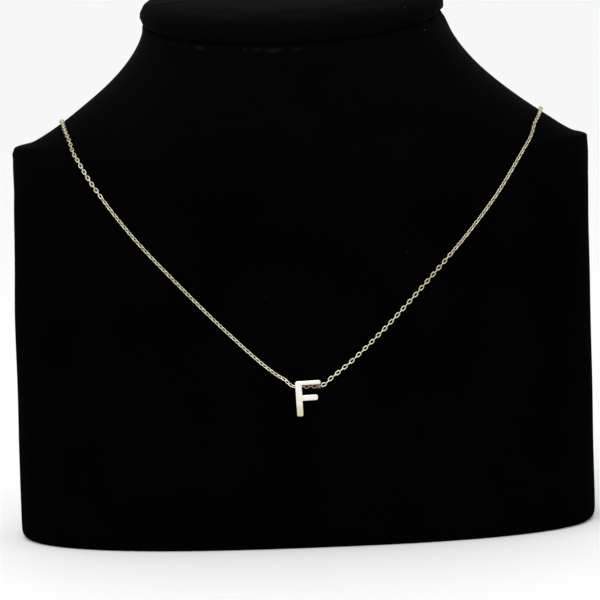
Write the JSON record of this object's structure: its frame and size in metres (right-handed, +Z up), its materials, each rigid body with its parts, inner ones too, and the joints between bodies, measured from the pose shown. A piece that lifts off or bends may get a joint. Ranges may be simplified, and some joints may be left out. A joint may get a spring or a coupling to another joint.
{
  "type": "initial pendant necklace on neck bust",
  "caption": "Small plain initial letter on a fine cable chain, threaded through loops on its back, lying on a velvet covered neck bust with a padded cap.",
  "frame": {"origin": "on the base face, the surface that the bust stands on, under the middle of the neck", "axes": "+X to the viewer's right across the shoulders, the front of the bust towards -Y, +Z up"},
  "size_m": [0.193, 0.0854, 0.1832],
  "materials": {
    "velvet": "black velvet pile",
    "polished_gold": "polished pale yellow gold tone",
    "chain_gold": "bright pale yellow gold tone wire"
  },
  "bodies": {
    "display": {"bust_form": "velvet", "neck_cap": "velvet", "chain": "chain_gold", "clasp": "chain_gold"},
    "pendant": {"letter_f": "polished_gold"}
  },
  "joints": [
    {"name": "pendant_swing", "type": "hinge", "parent": "display", "child": "pendant", "pos_m": [0, -0.05075, 0.05229], "axis": [-0.9997, 0, -0.0262], "range_deg": [0, 55]}
  ]
}
